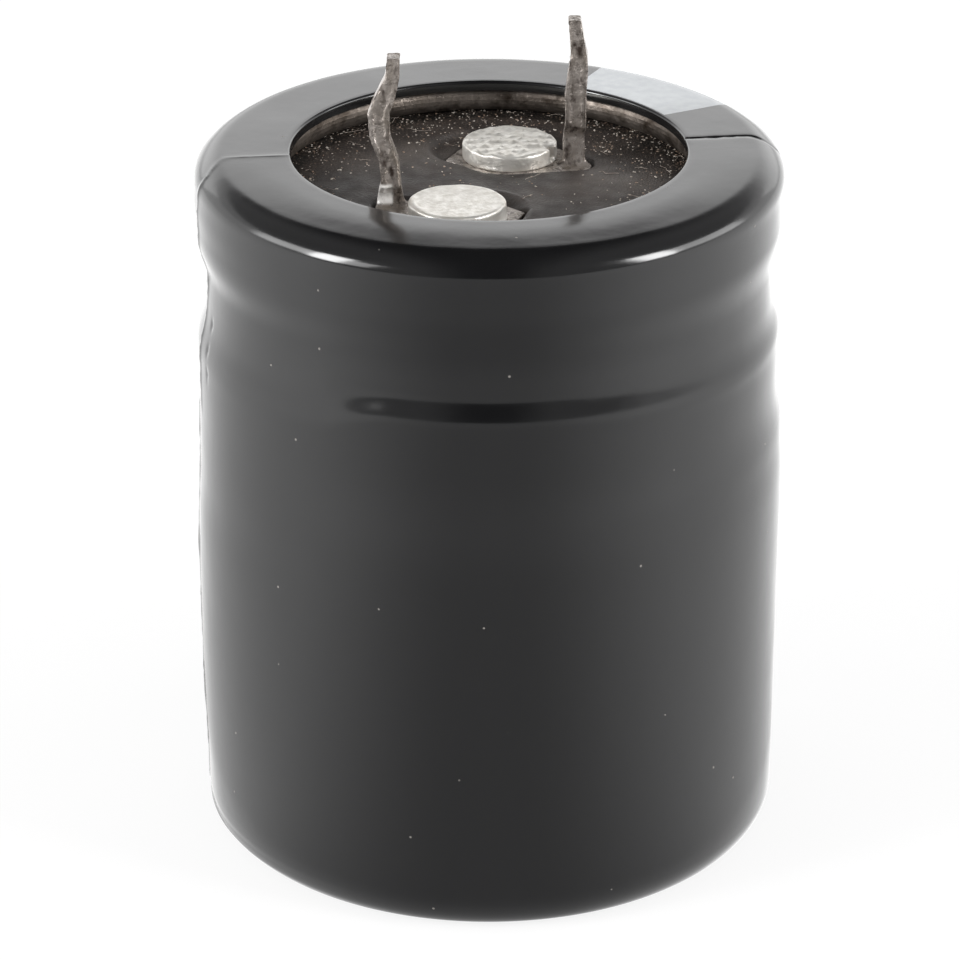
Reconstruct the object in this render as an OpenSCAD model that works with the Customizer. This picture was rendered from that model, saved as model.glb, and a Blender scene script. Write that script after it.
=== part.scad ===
// Snap-in aluminium electrolytic capacitor, standing on its closed end with its terminals up.
// Millimetres. The origin is on the can's axis, on the surface that the capacitor stands on.

/* [Can] */
// Outer diameter of the drawn aluminium can
can_d = 25; // [23:0.5:30]
// Length of the can from its closed end to the top of its rolled rim
can_length = 30.25; // [26:0.25:50]
// Wall of the can
can_wall = 0.4; // [0.3:0.05:0.5]
// Thickness of the closed end
can_base_t = 0.8; // [0.5:0.1:1.2]
// Outer radius of the corner at the closed end
can_corner_r = 1.15; // [0.8:0.05:1.6]
// How far the upper part of the can is drawn in on each side
can_draw_in = 0.3; // [0.1:0.05:0.5]
// Length over which the can draws in
can_draw_length = 4.7; // [3:0.1:6]
// Straight length between the drawn-in stretch and the bead
can_collar = 1.6; // [0.8:0.1:3]
// Depth of the rolled bead that carries the deck
bead_depth = 1.3; // [1:0.05:1.8]
// Height of the bead's lower flank
bead_lower = 2.65; // [2.2:0.05:3.2]
// Height of the bead's upper flank
bead_upper = 1.9; // [1.6:0.05:2.4]
// Outer radius of the shoulder above the bead
shoulder_r = 0.95; // [0.6:0.05:1.4]
// Outer radius of the rolled rim
curl_r = 0.65; // [0.6:0.05:0.8]
// Width of the rolled rim, from the drawn-in wall to the opening
rim_w = 3.5; // [2.6:0.1:4]
// Length of the rim's cut edge past the roll
curl_tail = 0.4; // [0.2:0.05:0.6]

/* [Vent] */
// Length of each arm of the vent score in the closed end
vent_arm = 6.5; // [4:0.5:8]
// Width of the vent score
vent_w = 0.5; // [0.3:0.05:0.8]
// Depth of the vent score
vent_depth = 0.45; // [0.2:0.05:0.6]

/* [Sleeve] */
// Wall of the heat-shrunk sleeve
sleeve_t = 0.25; // [0.15:0.01:0.28]
// Film of air between the sleeve and the can
sleeve_gap = 0.02; // [0.01:0.01:0.05]
// How far the sleeve draws in where it bridges the bead
sleeve_neck = 0.42; // [0.2:0.02:0.6]
// Straight length of the sleeve at the neck
sleeve_neck_flat = 0.35; // [0.2:0.05:0.6]
// Height of the sleeve's slope under the neck
sleeve_neck_lower = 2.6; // [2.2:0.05:2.8]
// Height of the sleeve's slope over the neck
sleeve_neck_upper = 1.55; // [1.3:0.05:1.6]
// Width of the sleeve's turned-under edge at the closed end
sleeve_fold = 1.4; // [0.8:0.1:2.5]
// Outer radius of the sleeve at the closed end
sleeve_corner_r = 1.4; // [0.8:0.05:1.6]
// Outer radius at the sleeve's inner edge on top
sleeve_edge_r = 0.3; // [0.29:0.01:0.4]
// How much less the sleeve's inside rounds over the can's shoulder than the can does
shoulder_slack = 0.05; // [0:0.01:0.1]
// How far over the deck's underside the sleeve's neck ends
neck_rise = 0.05; // [0:0.01:0.1]
// Height of the sleeve's edge that is turned down into the opening
sleeve_skirt = 0.55; // [0.45:0.05:0.6]
// Thickness of the insulating disc on the closed end
disc_t = 0.3; // [0.2:0.05:0.5]
// Room between the insulating disc and the sleeve's corner
disc_gap = 0.1; // [0.05:0.05:0.5]

/* [Deck] */
// Thickness of the laminate board
board_t = 1.2; // [1:0.1:2]
// Thickness of the rubber facing
rubber_t = 0.83; // [0.7:0.01:1.2]
// Room between the deck and the can's wall
deck_gap = 0.05; // [0.03:0.01:0.1]
// Room between the rubber and the rolled rim
rim_gap = 0.02; // [0.01:0.01:0.05]
// Radius of the round hollow that each foot plate's tail presses into the rubber
hollow_r = 2.2; // [2:0.05:2.4]
// Depth of the hollows below the rubber's face
hollow_depth = 0.3; // [0.1:0.05:0.4]
// Distance from the negative rivet to the middle of its hollow
negative_hollow = 1.5; // [1:0.05:1.8]
// Turn of the negative hollow from the tail, in degrees
negative_hollow_turn = -40; // [-50:1:30]
// Distance from the positive rivet to the middle of its hollow
positive_hollow = 0.7; // [0.4:0.05:1.2]
// Turn of the positive hollow from the tail, in degrees
positive_hollow_turn = 15; // [-30:1:50]
// Turn of the terminal line from the X axis, in degrees
deck_turn = 32; // [0:1:90]
// Sideways offset of the riveted pair from the can's axis
pair_x = -0.17; // [-0.3:0.01:0.3]
// Front-to-back offset of the riveted pair from the can's axis
pair_y = 0.1; // [-0.3:0.01:0.3]

/* [Rivets] */
// Distance between the two rivets
rivet_spacing = 7.66; // [7:0.1:9]
// Angle of the rivet line from the terminal line, in degrees
rivet_angle = 41.6; // [35:0.5:50]
// Diameter of the rivet's head
rivet_head_d = 3.95; // [3.4:0.05:4.2]
// Height of the rivet's head
rivet_head_h = 0.75; // [0.5:0.05:0.8]
// Rounding of the head's upper edge
rivet_edge_r = 0.16; // [0.05:0.01:0.25]
// Diameter of the rivet's shank
rivet_shank_d = 2.4; // [2:0.1:2.8]
// Diameter of the rivet's upset end
rivet_tail_d = 3.6; // [3.2:0.1:4]
// Height of the rivet's upset end
rivet_tail_h = 0.6; // [0.4:0.1:1]
// Room around the shank in every hole
shank_gap = 0.03; // [0.02:0.01:0.06]
// Width of the dent in the negative rivet's head
dent_w = 0.45; // [0.3:0.05:0.6]
// Depth of the dent in the negative rivet's head
dent_depth = 0.3; // [0.1:0.05:0.4]

/* [Terminals] */
// Distance between the two terminal pins
pin_pitch = 9.36; // [8.5:0.1:10.5]
// Height of the pins' tips over the foot plate
pin_h = 6.68; // [5:0.1:7.5]
// Thickness of the tinned sheet
terminal_t = 0.25; // [0.2:0.01:0.3]
// Radius of the foot plate around the rivet
foot_r = 2.35; // [2.1:0.05:2.5]
// Radius of the foot plate's end under the pin
foot_end_r = 0.66; // [0.6:0.02:0.8]
// Distance from the rivet to the foot plate's pointed tail
foot_tail = 2.85; // [2.7:0.05:3.2]
// Turn of the tail past the line through pin and rivet, in degrees
tail_turn = 33; // [0:1:45]
// Depth of the folded pin, across the sheet
pin_depth = 0.8; // [0.6:0.05:0.9]
// Inner radius of the bend between the foot and the pin
bend_r = 0.2; // [0.1:0.02:0.25]
// Height over the foot at which the negative pin's folded sides start
negative_channel = 1.25; // [0.3:0.05:1.8]
// Height over the foot at which the positive pin's folded sides start
positive_channel = 0.4; // [0.3:0.05:1.8]
// Height over which the folded sides come in
channel_ramp = 0.6; // [0.3:0.05:1]
// Depth to which the foot plates are pressed below the rubber's face
foot_sink = 0.18; // [0.05:0.01:0.25]
// Room around the foot plates in the rubber
foot_gap = 0.12; // [0.05:0.01:0.2]

/* [Winding] */
// Height of the wound foil and paper
winding_h = 19.6; // [16:0.2:20]
// Radial room between the taped winding and the can, at the collar and over the rounded corner
winding_gap = 0.15; // [0.1:0.05:0.6]
// Diameter of the hole that the winding spindle leaves
spindle_d = 3.2; // [2:0.1:4]
// Thickness of the closing tape
tape_t = 0.1; // [0.06:0.01:0.15]
// Height of the closing tape
tape_h = 15; // [10:0.5:16]
// Thickness of the aluminium lead strips
strip_t = 0.2; // [0.15:0.01:0.25]
// Width of the lead strips
strip_w = 3.4; // [3.2:0.1:4]
// Room between an inner washer and the lead strip's bend
strip_gap = 0.1; // [0.05:0.05:0.4]
// Slack that the lead strip takes towards the middle
strip_slack = 1.1; // [0.5:0.1:1.5]
// Radius of the bend in a lead strip
strip_bend_r = 0.5; // [0.4:0.05:0.8]
// Straight length at both ends of a lead strip's slack
strip_straight = 0.5; // [0.3:0.1:1]
// Thickness of the inner washers
washer_t = 0.5; // [0.3:0.05:0.8]
// Diameter of the inner washers
washer_d = 4.6; // [4.2:0.1:5]

/* [Hidden] */
$fn = 96;

black_pvc = "#2b2b2d";
bare_aluminium = "#c4c5c6";
tinned_steel = "#a9a6a2";
black_rubber = "#33302d";
brown_laminate = "#6b4a2f";
grey_fibre = "#6f7072";
foil_paper = "#cdbfa0";
clear_tape = "#d9cfa6";

// Steps along an arc and along an eased slope
arc_steps = 12;
slope_steps = 14;
// Margin by which a cutter reaches past what it cuts
past = 1;

can_r = can_d / 2;
can_bottom = sleeve_t + disc_t;
can_top = can_bottom + can_length;
collar_r = can_r - can_draw_in;
opening_r = collar_r - rim_w;
rim_centre = [opening_r + curl_r, can_top - curl_r];
rim_bottom = can_top - 2 * curl_r;
disc_r = min(can_r - can_corner_r, can_r + sleeve_gap + sleeve_t - sleeve_corner_r) - disc_gap;

// The deck hangs under the rolled rim, and the bead ends where the deck begins
rubber_top = rim_bottom - rim_gap;
board_top = rubber_top - rubber_t;
board_bottom = board_top - board_t;
bead_z = board_bottom - bead_upper;
draw_top = bead_z - bead_lower - can_collar;
draw_bottom = draw_top - can_draw_length;
deck_r = collar_r - can_wall - deck_gap;

// The sleeve follows the can and bridges its bead
sleeve_r = can_r + sleeve_gap + sleeve_t;
sleeve_collar_r = collar_r + sleeve_gap + sleeve_t;
sleeve_neck_r = sleeve_collar_r - sleeve_neck;
sleeve_top = can_top + sleeve_t;
sleeve_shoulder_r = shoulder_r + sleeve_t - shoulder_slack;
sleeve_opening_r = opening_r - sleeve_gap - sleeve_t;
neck_top = board_bottom + neck_rise;
neck_high = neck_top - sleeve_neck_upper;
neck_low = neck_high - sleeve_neck_flat;
neck_bottom = neck_low - sleeve_neck_lower;

// Heights of the riveted stack
foot_top = rubber_top - foot_sink;
foot_bottom = foot_top - terminal_t;
strip_bottom = board_bottom - strip_t;
washer_bottom = strip_bottom - washer_t;
strip_reach = washer_d / 2 + strip_gap + strip_bend_r;
hole_r = rivet_shank_d / 2 + shank_gap;
rivet_at = rivet_spacing / 2 * [cos(rivet_angle), sin(rivet_angle)];
pin_at = [pin_pitch / 2, 0];
foot_turn = atan2(pin_at[1] - rivet_at[1], pin_at[0] - rivet_at[0]);
foot_reach = norm(pin_at - rivet_at);
tail_angle = 180 + tail_turn;

winding_bottom = can_bottom + can_base_t;
winding_top = winding_bottom + winding_h;
tape_r = min(collar_r - can_wall, can_r - can_corner_r) - winding_gap;
winding_r = tape_r - tape_t;

// Bends of each pin as it stands: share of the pin's height, sideways offset, width
negative_bends = [
    [0, -0.10, 0.94], [0.17, -0.14, 0.94], [0.33, -0.06, 0.88], [0.48, -0.07, 0.90],
    [0.63, 0.00, 0.86], [0.75, 0.06, 0.70], [0.87, -0.03, 0.60], [1, -0.15, 0.54]
];
positive_bends = [
    [0, 0.00, 1.22], [0.1, 0.00, 1.00], [0.2, -0.03, 0.78], [0.32, 0.06, 0.78], [0.47, 0.42, 0.84],
    [0.63, 0.47, 0.90], [0.75, 0.16, 0.82], [0.87, -0.13, 0.60], [1, -0.17, 0.54]
];

function arc(centre, r, from, to) = [
    for (i = [0 : arc_steps])
        let (a = from + (to - from) * i / arc_steps) centre + r * [cos(a), sin(a)]
];

// Points of a smooth slope from a to b, level with its ends at both ends
function slope(a, b) = [
    for (i = [0 : slope_steps])
        let (s = i / slope_steps) [a[0] + (b[0] - a[0]) * (1 - cos(180 * s)) / 2, a[1] + (b[1] - a[1]) * s]
];

function reversed(path) = [for (i = [len(path) - 1 : -1 : 0]) path[i]];

function after_first(path) = [for (i = [1 : len(path) - 1]) path[i]];

function heading(path, i) = path[i + 1] - path[i];

function left_of(v) = [-v[1], v[0]] / norm(v);

// The path moved to its left by t, as the other face of a sheet
function inset(path, t) = [
    for (i = [0 : len(path) - 1])
        let (before = left_of(heading(path, max(i - 1, 0))))
        let (after = left_of(heading(path, min(i, len(path) - 2))))
        let (both = (before + after) / norm(before + after))
        path[i] + both * t / (both * before)
];

// A sheet of thickness t that lies to the left of the path
module sheet(path, t) {
    polygon(concat(path, reversed(inset(path, t))));
}

// Outer face of the can's wall, from the closed end's corner to the rim's cut edge
can_face = concat(
    [[can_r, can_bottom + can_corner_r]],
    slope([can_r, draw_bottom], [collar_r, draw_top]),
    slope([collar_r, bead_z - bead_lower], [collar_r - bead_depth, bead_z]),
    after_first(slope([collar_r - bead_depth, bead_z], [collar_r, board_bottom])),
    arc([collar_r - shoulder_r, can_top - shoulder_r], shoulder_r, 0, 90),
    arc(rim_centre, curl_r, 90, 270),
    [[rim_centre[0] + curl_tail, rim_bottom]]
);

// Outer face of the sleeve, from its turned-under edge to its edge in the opening
sleeve_face = concat(
    [[sleeve_r - sleeve_corner_r - sleeve_fold, 0]],
    arc([sleeve_r - sleeve_corner_r, sleeve_corner_r], sleeve_corner_r, -90, 0),
    slope([sleeve_r, draw_bottom], [sleeve_collar_r, draw_top]),
    slope([sleeve_collar_r, neck_bottom], [sleeve_neck_r, neck_low]),
    slope([sleeve_neck_r, neck_high], [sleeve_collar_r, neck_top]),
    arc([sleeve_collar_r - sleeve_shoulder_r, sleeve_top - sleeve_shoulder_r], sleeve_shoulder_r, 0, 90),
    arc([sleeve_opening_r + sleeve_edge_r, sleeve_top - sleeve_edge_r], sleeve_edge_r, 90, 180),
    [[sleeve_opening_r, sleeve_top - sleeve_skirt]]
);

module sleeve() {
    color(black_pvc)
        rotate_extrude()
            sheet(sleeve_face, sleeve_t);
}

module vent_score() {
    for (turn = [90, 210, 330])
        rotate([0, 0, turn])
            translate([0, -vent_w / 2, can_bottom - vent_depth])
                cube([vent_arm, vent_w, 2 * vent_depth]);
}

module can() {
    inner_corner_r = can_corner_r - can_wall;
    floor_z = can_bottom + can_base_t;
    color(bare_aluminium)
        difference() {
            rotate_extrude()
                polygon(concat(
                    [[0, can_bottom]],
                    arc([can_r - can_corner_r, can_bottom + can_corner_r], can_corner_r, -90, 0),
                    after_first(can_face),
                    reversed(after_first(inset(can_face, can_wall))),
                    reversed(arc([can_r - can_corner_r, floor_z + inner_corner_r], inner_corner_r, -90, 0)),
                    [[0, floor_z]]
                ));
            vent_score();
        }
}

module base_disc() {
    color(grey_fibre)
        translate([0, 0, sleeve_t])
            cylinder(r = disc_r, h = disc_t);
}

// What sits at the terminal pair: side 1 is the negative one, side -1 the positive one
module at_pair(side) {
    translate([pair_x, pair_y, 0])
        rotate([0, 0, deck_turn + (side > 0 ? 0 : 180)])
            children();
}

module at_rivet(side) {
    at_pair(side)
        translate(rivet_at)
            rotate([0, 0, foot_turn])
                children();
}

module shank_hole(side, bottom, top) {
    at_rivet(side)
        translate([0, 0, bottom - past])
            cylinder(r = hole_r, h = top - bottom + 2 * past);
}

// Outline of a foot plate around its rivet, with its pin at +X, grown by g
module foot_outline(g) {
    body_r = foot_r + g;
    end_r = foot_end_r + g;
    lean = acos((body_r - end_r) / foot_reach);
    tail = foot_tail + g * foot_tail / foot_r;
    tail_lean = acos(body_r / tail);
    polygon(concat(
        arc([foot_reach, 0], end_r, -lean, lean),
        arc([0, 0], body_r, lean, tail_angle - tail_lean),
        [tail * [cos(tail_angle), sin(tail_angle)]],
        arc([0, 0], body_r, tail_angle + tail_lean, 360 - lean)
    ));
}

// Hollow that a foot plate's tail presses into the rubber
module hollow(side, distance, turn) {
    at_rivet(side)
        rotate([0, 0, tail_angle + turn])
            translate([distance, 0, rubber_top - hollow_depth])
                cylinder(r = hollow_r, h = hollow_depth + past);
}

module deck_board() {
    color(brown_laminate)
        difference() {
            translate([0, 0, board_bottom])
                cylinder(r = deck_r, h = board_t);
            for (side = [1, -1])
                shank_hole(side, board_bottom, board_top);
        }
}

module deck_rubber() {
    color(black_rubber)
        difference() {
            translate([0, 0, board_top])
                cylinder(r = deck_r, h = rubber_t);
            for (side = [1, -1]) {
                shank_hole(side, board_top, rubber_top);
                at_rivet(side)
                    translate([0, 0, foot_bottom])
                        linear_extrude(terminal_t + foot_sink + past)
                            foot_outline(foot_gap);
            }
            hollow(1, negative_hollow, negative_hollow_turn);
            hollow(-1, positive_hollow, positive_hollow_turn);
        }
}

module rivet(side) {
    head_r = rivet_head_d / 2;
    head_top = foot_top + rivet_head_h;
    color(bare_aluminium)
        at_rivet(side)
            difference() {
                rotate_extrude()
                    polygon(concat(
                        [[0, washer_bottom - rivet_tail_h], [rivet_tail_d / 2, washer_bottom - rivet_tail_h]],
                        [[rivet_tail_d / 2, washer_bottom], [rivet_shank_d / 2, washer_bottom]],
                        [[rivet_shank_d / 2, foot_top], [head_r, foot_top]],
                        arc([head_r - rivet_edge_r, head_top - rivet_edge_r], rivet_edge_r, 0, 90),
                        [[0, head_top]]
                    ));
                if (side > 0)
                    translate([head_r - dent_depth, -dent_w / 2, foot_top + terminal_t / 2])
                        cube([head_r, dent_w, rivet_head_h]);
            }
}

// Right and left edges of the pin's front view, t inside its outline
function pin_edge(bends, way, t) = [for (b = bends) [b[1] + way * (b[2] / 2 - t), b[0] * pin_h]];

// The pin's front view, t inside its outline, from the height z up
module pin_outline(bends, t, z) {
    right = pin_edge(bends, 1, t);
    left = pin_edge(bends, -1, t);
    polygon(concat([[right[0][0], z]], right, reversed(left), [[left[0][0], z]]));
}

// Stands an outline up on the foot, its width along X and its depth d along Y from y
module stand(y, d) {
    translate([0, y + d, foot_top])
        rotate([90, 0, 0])
            linear_extrude(d)
                children();
}

// A section across the pin, drawn with Y to its right and height up, run along the pin's width
module across(w) {
    translate([-w, 0, foot_top])
        rotate([90, 0, 90])
            linear_extrude(2 * w)
                children();
}

module pin_web(bends) {
    back = pin_depth / 2;
    bend_at = [back - terminal_t - bend_r, bend_r];
    intersection() {
        stand(-back, pin_depth)
            pin_outline(bends, 0, -terminal_t);
        across(foot_reach)
            sheet(
                concat([[-back, -terminal_t]], arc(bend_at, bend_r + terminal_t, -90, 0), [[back, pin_h]]),
                terminal_t
            );
    }
}

module pin_sides(bends, start) {
    back = pin_depth / 2;
    intersection() {
        difference() {
            stand(-back, pin_depth)
                pin_outline(bends, 0, -terminal_t);
            stand(-pin_depth, 2 * pin_depth)
                pin_outline(bends, terminal_t, -2 * terminal_t);
        }
        across(foot_reach)
            polygon([
                [back - terminal_t / 2, start], [-back, start + channel_ramp],
                [-back, pin_h], [back - terminal_t / 2, pin_h]
            ]);
    }
}

// Each pin opens towards the front, so the positive one is folded the other way
module terminal(side, bends, start) {
    color(tinned_steel) {
        difference() {
            at_rivet(side)
                translate([0, 0, foot_bottom])
                    linear_extrude(terminal_t)
                        foot_outline(0);
            shank_hole(side, foot_bottom, foot_top);
        }
        at_pair(side)
            translate(pin_at)
                rotate([0, 0, -deck_turn])
                    mirror([0, side > 0 ? 0 : 1, 0]) {
                        pin_web(bends);
                        pin_sides(bends, start);
                    }
    }
}

module inner_washer(side) {
    color(bare_aluminium)
        difference() {
            at_rivet(side)
                translate([0, 0, washer_bottom])
                    cylinder(d = washer_d, h = washer_t);
            shank_hole(side, washer_bottom, strip_bottom);
        }
}

// A lead strip: flat under the board, with the rivet through it, then down to the winding
module lead_strip(side) {
    turn_z = board_bottom - strip_bend_r;
    path = concat(
        [[-strip_w / 2, board_bottom]],
        arc([strip_reach - strip_bend_r, turn_z], strip_bend_r, 90, 0),
        slope(
            [strip_reach, turn_z - strip_straight],
            [strip_reach - strip_slack, winding_top + strip_straight]
        ),
        [[strip_reach - strip_slack, winding_top]]
    );
    color(bare_aluminium)
        difference() {
            at_rivet(side)
                translate([0, strip_w / 2, 0])
                    rotate([90, 0, 0])
                        linear_extrude(strip_w)
                            sheet(path, -strip_t);
            shank_hole(side, strip_bottom, board_bottom);
        }
}

module wound_element() {
    color(foil_paper)
        translate([0, 0, winding_bottom])
            difference() {
                cylinder(r = winding_r, h = winding_h);
                translate([0, 0, -past])
                    cylinder(d = spindle_d, h = winding_h + 2 * past);
            }
}

module closing_tape() {
    color(clear_tape)
        translate([0, 0, winding_bottom + (winding_h - tape_h) / 2])
            difference() {
                cylinder(r = tape_r, h = tape_h);
                translate([0, 0, -past])
                    cylinder(r = winding_r, h = tape_h + 2 * past);
            }
}

sleeve();
can();
base_disc();
deck_board();
deck_rubber();
rivet(-1);  // positive_rivet
rivet(1);  // negative_rivet
terminal(-1, positive_bends, positive_channel);  // positive_terminal
terminal(1, negative_bends, negative_channel);  // negative_terminal
inner_washer(-1);  // positive_washer
inner_washer(1);  // negative_washer
lead_strip(-1);  // positive_lead_strip
lead_strip(1);  // negative_lead_strip
wound_element();
closing_tape();
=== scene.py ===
import math

import bmesh
import bpy
import numpy as np
from mathutils import Matrix, Vector, noise


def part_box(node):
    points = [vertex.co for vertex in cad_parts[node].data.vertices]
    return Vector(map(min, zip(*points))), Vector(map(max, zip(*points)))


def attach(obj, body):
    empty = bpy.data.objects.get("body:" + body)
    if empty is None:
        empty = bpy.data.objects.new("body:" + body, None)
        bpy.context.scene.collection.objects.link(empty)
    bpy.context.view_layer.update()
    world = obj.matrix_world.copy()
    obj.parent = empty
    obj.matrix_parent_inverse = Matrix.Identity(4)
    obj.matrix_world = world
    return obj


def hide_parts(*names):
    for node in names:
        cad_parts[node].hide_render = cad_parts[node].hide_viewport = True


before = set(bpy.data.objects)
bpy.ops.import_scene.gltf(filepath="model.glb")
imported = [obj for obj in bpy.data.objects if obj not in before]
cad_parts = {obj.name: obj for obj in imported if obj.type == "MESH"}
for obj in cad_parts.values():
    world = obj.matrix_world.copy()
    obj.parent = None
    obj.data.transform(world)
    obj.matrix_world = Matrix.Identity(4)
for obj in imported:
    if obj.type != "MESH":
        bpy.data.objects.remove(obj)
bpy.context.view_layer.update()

# Looks of a snap-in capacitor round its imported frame.
# Shapes are worked out in millimetres and scaled once, when they become pieces.
# A bearing is an angle round the can in degrees: 0 in front, 90 on the right.
mm = 0.001
body = "root"


def toLinear(hexCode):
    channels = [int(hexCode[i:i + 2], 16) / 255 for i in (1, 3, 5)]
    return [c / 12.92 if c <= 0.04045 else ((c + 0.055) / 1.055) ** 2.4 for c in channels] + [1.0]


def newObject(name, data):
    made = bpy.data.objects.new(name, data)
    bpy.context.collection.objects.link(made)
    return made


# Gives a socket a value or a hex colour, or links it to another socket or to a node's first output in use
def feed(tree, socket, source):
    if isinstance(source, bpy.types.Node):
        source = next(out for out in source.outputs if out.enabled)
    if isinstance(source, bpy.types.NodeSocket):
        tree.links.new(source, socket)
    else:
        isHex = isinstance(source, str) and source.startswith("#")
        socket.default_value = toLinear(source) if isHex else source


# Adds a node with its settings and what feeds its inputs
def addNode(tree, kind, inputs=None, **settings):
    node = tree.nodes.new(kind)
    for name, value in settings.items():
        setattr(node, name, value)
    for name, source in (inputs or {}).items():
        feed(tree, node.inputs[name], source)
    return node


def nodeBox(node):
    low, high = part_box(node)
    return np.array(low) / mm, np.array(high) / mm


# Soft step from 0 to 1 as value goes from low to high
def ease(low, high, value):
    share = np.clip((value - low) / (high - low), 0, 1)
    return share * share * (3 - 2 * share)


def bellCurve(value, middle, width):
    return np.exp(-((value - middle) / width) ** 2)


# Smooth noise at many points, in lumps about one size across, between -1 and 1
def lumps(spots, size, seed=0.0):
    shift = Vector((seed * 7.3, seed * 3.1, seed * 5.7))
    return np.array([noise.noise(Vector(p) / size + shift) for p in spots])


# Starts a material: its name, its colour and what is the same all over it
def startMaterial(name, colour, **sockets):
    material = bpy.data.materials.new(name)
    material.use_nodes = True
    tree = material.node_tree
    shader = tree.nodes["Principled BSDF"]
    for socket, value in {"Base Color": colour, **sockets}.items():
        feed(tree, shader.inputs[socket], value)
    place = addNode(tree, "ShaderNodeTexCoord").outputs["Object"]
    return material, tree, shader, place


# Mottling whose patches have a size in millimetres, between a low and a high value
def mottle(tree, place, size, low=0.0, high=1.0, start=0.35, end=0.65, detail=3.0, stretch=(1, 1, 1)):
    laid = addNode(tree, "ShaderNodeMapping", {"Vector": place, "Scale": stretch})
    cloud = addNode(tree, "ShaderNodeTexNoise", {"Vector": laid, "Scale": 1 / (size * mm), "Detail": detail})
    return addNode(tree, "ShaderNodeMapRange", {
        "Value": cloud.outputs["Fac"], "From Min": start, "From Max": end, "To Min": low, "To Max": high})


# A colour that turns into a second one in mottled patches
def mottledColour(tree, place, size, first, second, **ways):
    patches = mottle(tree, place, size, **ways)
    return addNode(tree, "ShaderNodeMix", {0: patches, 6: first, 7: second}, data_type="RGBA")


# Feeds a shader's colour and roughness, and its normal from a height in millimetres
def dress(tree, shader, colour=None, roughness=None, height=None, depth=0.01):
    bump = height and addNode(tree, "ShaderNodeBump", {"Height": height, "Distance": depth * mm})
    for name, source in (("Base Color", colour), ("Roughness", roughness), ("Normal", bump)):
        if source:
            feed(tree, shader.inputs[name], source)


stripe = {
    "middle": 136,       # bearing
    "halfWidth": 18,
    "inner": 8.62,       # millimetres from the axis where the ink starts
    "ink": "#a6aaad",
    "paleInk": "#9ca0a4",
    "barPitch": 7.2,     # minus bars down the stripe
    "barHeight": 0.9,
    "barHalfWidth": 7.5,
    "barsFrom": 3.0,
    "barsTo": 21.0,
}
filmLook = {
    "colour": "#101011",
    "roughness": (0.13, 0.18),
    "peel": 0.0012,      # depth of the orange peel in millimetres
    "fleck": "#77736e",
    "fleckSpacing": 1.1,
    "fleckSize": 0.05,   # share of the spacing
    "fleckShare": 0.3,   # share of the places that have one
}


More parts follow.
